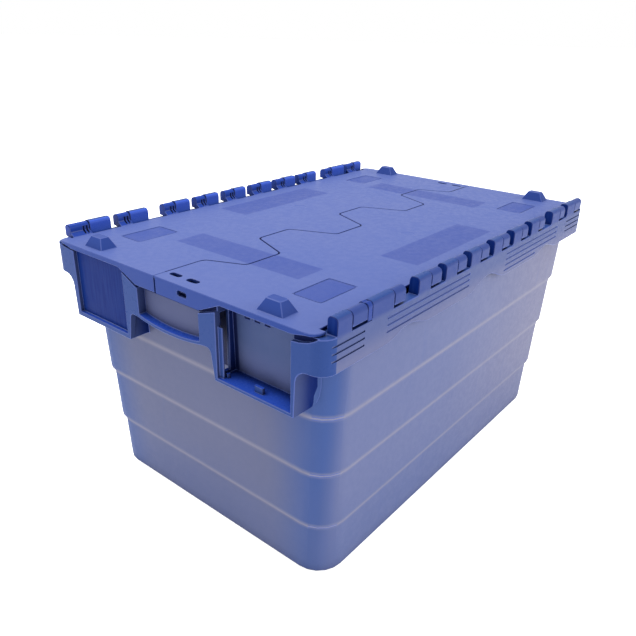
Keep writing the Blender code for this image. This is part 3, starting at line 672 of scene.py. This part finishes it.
def tub_finish(centre, normal):
    """Finish of one flat face of the tub, by its place and the way it looks."""
    x, y, z = abs(centre.x), abs(centre.y), centre.z
    outward = normal.y if centre.y > 0.0 else -normal.y
    faces_end = abs(normal.x) > SQUARE_ON
    if normal.z > SQUARE_ON and abs(z - LEDGE) < 0.0002 and y > BOX_OUTER:
        return SHADE
    if z < RIM_TOP - 0.001 and outside_wall(x, y, z) < 0.0008:
        return TEXTURED
    if outward > 0.6 and y > HALF_WIDTH - 0.0025 and x < KNUCKLE_END:
        return TEXTURED
    if faces_end and abs(x - HANDLE_BACK) < 0.0003:
        return RECESS
    if faces_end and abs(x - PANEL_BACK) < 0.0003:
        return PANEL
    if faces_end and abs(x - REBATE_BACK) < 0.0001 and z > REBATE_BOTTOM:
        return SHADE
    # knuckles' ends facing along x: the panel's dark blue as painted shade
    if z > RIM_TOP and y > BASE_HALF_Y and abs(normal.x) > 0.8:
        return PANEL
    # knuckles' inner faces: a lighter blue as painted light
    if z > RIM_TOP and y > BASE_HALF_Y and outward < -0.3:
        return KNUCKLE
    if normal.z > MOSTLY and z < SKIRT_BOTTOM and x > BASE_HALF_X:
        return BRIGHT
    beside = (BASE_HALF_X < x < HALF_LENGTH - 0.0005 and y < BOX_OUTER + FLANK_WIDTH
              and z < RIM_TOP - 0.002)
    if beside and (abs(normal.y) > MOSTLY or (y > BOX_OUTER - 0.0005 and z < SKIRT_BOTTOM)):
        return FLANK
    return POLISHED


TOP, SIDE, BARREL, OUTER = range(4)


def lid_finish(centre, normal):
    """Finish of one flat face of a lid, whose hinge is at its -y side."""
    raised = centre.z > LID_TOP + 0.0002
    if normal.z > 0.7 and centre.z < LID_TOP + 0.0002:
        return TOP
    if raised and centre.y < -BARREL_SIDE:
        return OUTER if normal.y < -0.6 or normal.z > MOSTLY else BARREL
    return SIDE


def far_lid_finish(centre, normal):
    """The same for the far lid, whose barrels are glossier on top and painted the deeper barrel
    blue there, a painted difference in reflection from the near lid's greyer tops.
    """
    finish = lid_finish(centre, normal)
    return BARREL if finish == OUTER and normal.z > MOSTLY else finish


def single_finish(centre, normal):
    """For a piece with one finish all over."""
    return 0


# ---------------------------------------------------------------- the crate
def dress_crate():
    """Puts a moulded shell in place of each plastic node, and steel on the hinge pins."""
    finishes = [tub_textured(),
                plain_plastic("tub_polished", RIM_BLUE,
                              roughness=0.30, grain=0.12, specular=0.04, wear=0.2),
                tub_panel(),
                plain_plastic("tub_recess", RECESS_GREY,
                              roughness=0.42, grain=0.40, specular=0.05, wear=0.6),
                tub_bright(),
                tub_flank(),
                plain_plastic("tub_knuckle", KNUCKLE_LIT_BLUE,
                              roughness=0.24, grain=0.08, specular=0.05, wear=0.2),
                plain_plastic("tub_shade", SHADE_BLUE,
                              roughness=0.50, grain=0.20, specular=0.02, wear=0.1),
                # rounded edges: their lighter tone is a painted highlight
                edge_plastic("tub_edge", EDGE_HIGHLIGHT_AND_SCUFF, RIM_TOP)]
    shaped("tub", "crate", finishes, tub_finish)

    finishes = [lid_textured(),
                plain_plastic("lid_side", LID_SIDE,
                              roughness=0.36, grain=0.15, specular=0.05, wear=0.5),
                plain_plastic("lid_barrel", BARREL_BLUE,
                              roughness=0.22, grain=0.10, specular=0.05, wear=0.3),
                plain_plastic("lid_barrel_outer", KNUCKLE_OUTER,
                              roughness=0.34, grain=0.15, specular=0.05, wear=0.5),
                edge_plastic("lid_edge", LID_EDGE, LID_TOP)]
    shaped("lid_near", "lid_near", finishes, lid_finish)
    shaped("lid_far", "lid_far", finishes, far_lid_finish, HALF_TURN)

    finishes = [plain_plastic("clip_plastic", CLIP_BLUE,
                              roughness=0.28, grain=0.10, specular=0.06, wear=0.4),
                plain_plastic("clip_edge", EDGE_DEEP,
                              roughness=0.28, grain=0.10, specular=0.10, wear=0.4)]
    for side in ("near", "far"):
        shaped("hinge_lock_" + side, "crate", finishes, single_finish)

    pin_steel = steel()
    for name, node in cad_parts.items():
        if name.startswith("hinge_pin"):
            node.data.materials.clear()
            node.data.materials.append(pin_steel)


# ---------------------------------------------------------------- studio
CAMERA_TARGET = Vector((0.15492, 0.17437, 0.06044))
CAMERA_DISTANCE = 1.1407
CAMERA_AZIMUTH = math.radians(-51.14)       # from straight before the near side
CAMERA_ELEVATION = math.radians(24.08)
CAMERA_ROLL = math.radians(1.39)
SENSOR_MM, LENS_MM = 36.0, 36.24


def floor():
    """A round of white paper, lit a little from within so that it stays pale."""
    mesh = bpy.data.meshes.new("floor")
    bm = bmesh.new()
    bmesh.ops.create_circle(bm, cap_ends=True, segments=96, radius=40.0)
    bm.to_mesh(mesh)
    bm.free()
    obj = bpy.data.objects.new("floor", mesh)
    obj.location.z = LOW.z - 0.0002
    bpy.context.scene.collection.objects.link(obj)
    shading = Shading("studio_floor")
    colour = shading.mix(shading.noise(scale=3.0, detail=3.0), PAPER_GREY, PAPER_PALE)
    fibres = shading.bump(shading.noise(scale=900.0), strength=0.1, distance=0.0002)
    shading.finish(colour, 0.9, fibres)
    shading.feed(shading.shader.inputs["Emission Color"], WHITE)
    shading.feed(shading.shader.inputs["Emission Strength"], 0.70)
    mesh.materials.append(shading.material)
    obj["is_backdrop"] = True


def softbox(name, place, size, power, aim):
    """A rectangular light at one place, turned to another."""
    data = bpy.data.lights.new(name, "AREA")
    data.shape = "RECTANGLE"
    data.size, data.size_y = size
    data.energy = power
    obj = bpy.data.objects.new(name, data)
    obj.location = place
    direction = Vector(aim) - Vector(place)
    obj.rotation_euler = direction.to_track_quat("-Z", "Y").to_euler()
    bpy.context.scene.collection.objects.link(obj)


def studio():
    """White surroundings, a broad light overhead and a softer one at the front right."""
    world = bpy.data.worlds.new("studio_white")
    bpy.context.scene.world = world
    world.use_nodes = True
    background = world.node_tree.nodes["Background"]
    background.inputs["Color"].default_value = (*WHITE, 1.0)
    background.inputs["Strength"].default_value = 1.0
    middle = (LOW + HIGH) / 2.0
    softbox("overhead", place=middle + Vector((-0.2, 0.8, 1.8)), size=(2.0, 1.6),
            power=48.0, aim=middle)
    softbox("right_front", place=middle + Vector((0.7, -2.0, 0.9)), size=(1.6, 1.2),
            power=25.0, aim=middle)
    bpy.context.scene.view_settings.view_transform = "Standard"


def camera():
    """Long-side three-quarter view from above the near end."""
    data = bpy.data.cameras.new("camera")
    data.sensor_width = SENSOR_MM
    data.lens = LENS_MM
    data.clip_start, data.clip_end = 0.05, 100.0
    obj = bpy.data.objects.new("camera", data)
    back = Vector((math.sin(CAMERA_AZIMUTH) * math.cos(CAMERA_ELEVATION),
                   -math.cos(CAMERA_AZIMUTH) * math.cos(CAMERA_ELEVATION),
                   math.sin(CAMERA_ELEVATION)))
    level = (-back).to_track_quat("-Z", "Y").to_matrix().to_4x4()
    obj.matrix_world = (Matrix.Translation(CAMERA_TARGET + back * CAMERA_DISTANCE) @ level
                        @ Matrix.Rotation(CAMERA_ROLL, 4, "Z"))
    bpy.context.scene.collection.objects.link(obj)
    bpy.context.scene.camera = obj


dress_crate()
floor()
studio()
camera()

boxes = [[list(corner) for corner in box] for box in (CAD_BOX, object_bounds())]
